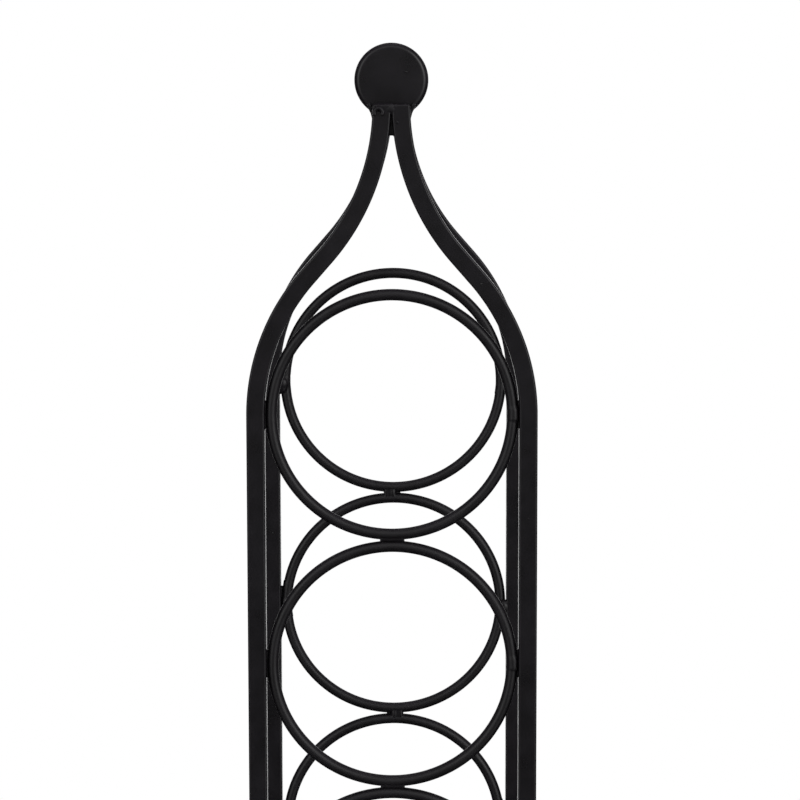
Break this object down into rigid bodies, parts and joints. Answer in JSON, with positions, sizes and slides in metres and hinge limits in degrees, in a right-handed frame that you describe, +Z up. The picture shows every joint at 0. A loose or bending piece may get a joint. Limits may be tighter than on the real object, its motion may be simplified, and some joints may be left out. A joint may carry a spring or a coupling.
{
  "type": "wine rack",
  "caption": "Tall narrow wine tower: two black bar frames with stacked wire rings hold bottles on their side, one above another, under a round carry handle.",
  "frame": {"origin": "on the floor, at the middle of the four feet", "axes": "+Z up, -Y towards the front frame, +X to the right seen from the front"},
  "size_m": [0.13, 0.1536, 0.9476],
  "materials": {
    "powder_coat": "fine satin black powder coat on steel",
    "foot_rubber": "soft moulded black, matt"
  },
  "bodies": {
    "root": {"front_left_upright": "powder_coat", "front_left_foot": "foot_rubber", "front_right_upright": "powder_coat", "front_right_foot": "foot_rubber", "front_ring_1": "powder_coat", "front_ring_2": "powder_coat", "front_ring_3": "powder_coat", "front_ring_4": "powder_coat", "front_ring_5": "powder_coat", "front_ring_6": "powder_coat", "front_ring_7": "powder_coat", "front_lower_rail": "powder_coat", "front_handle_cap": "powder_coat", "front_ring_welds": "powder_coat", "front_side_welds": "powder_coat", "front_neck_welds": "powder_coat", "rear_left_upright": "powder_coat", "rear_left_foot": "foot_rubber", "rear_right_upright": "powder_coat", "rear_right_foot": "foot_rubber", "rear_ring_1": "powder_coat", "rear_ring_2": "powder_coat", "rear_ring_3": "powder_coat", "rear_ring_4": "powder_coat", "rear_ring_5": "powder_coat", "rear_ring_6": "powder_coat", "rear_ring_7": "powder_coat", "rear_lower_rail": "powder_coat", "rear_handle_cap": "powder_coat", "rear_ring_welds": "powder_coat", "rear_side_welds": "powder_coat", "rear_neck_welds": "powder_coat", "left_side_rail": "powder_coat", "right_side_rail": "powder_coat", "handle_tube": "powder_coat", "base_welds": "powder_coat"}
  },
  "joints": []
}
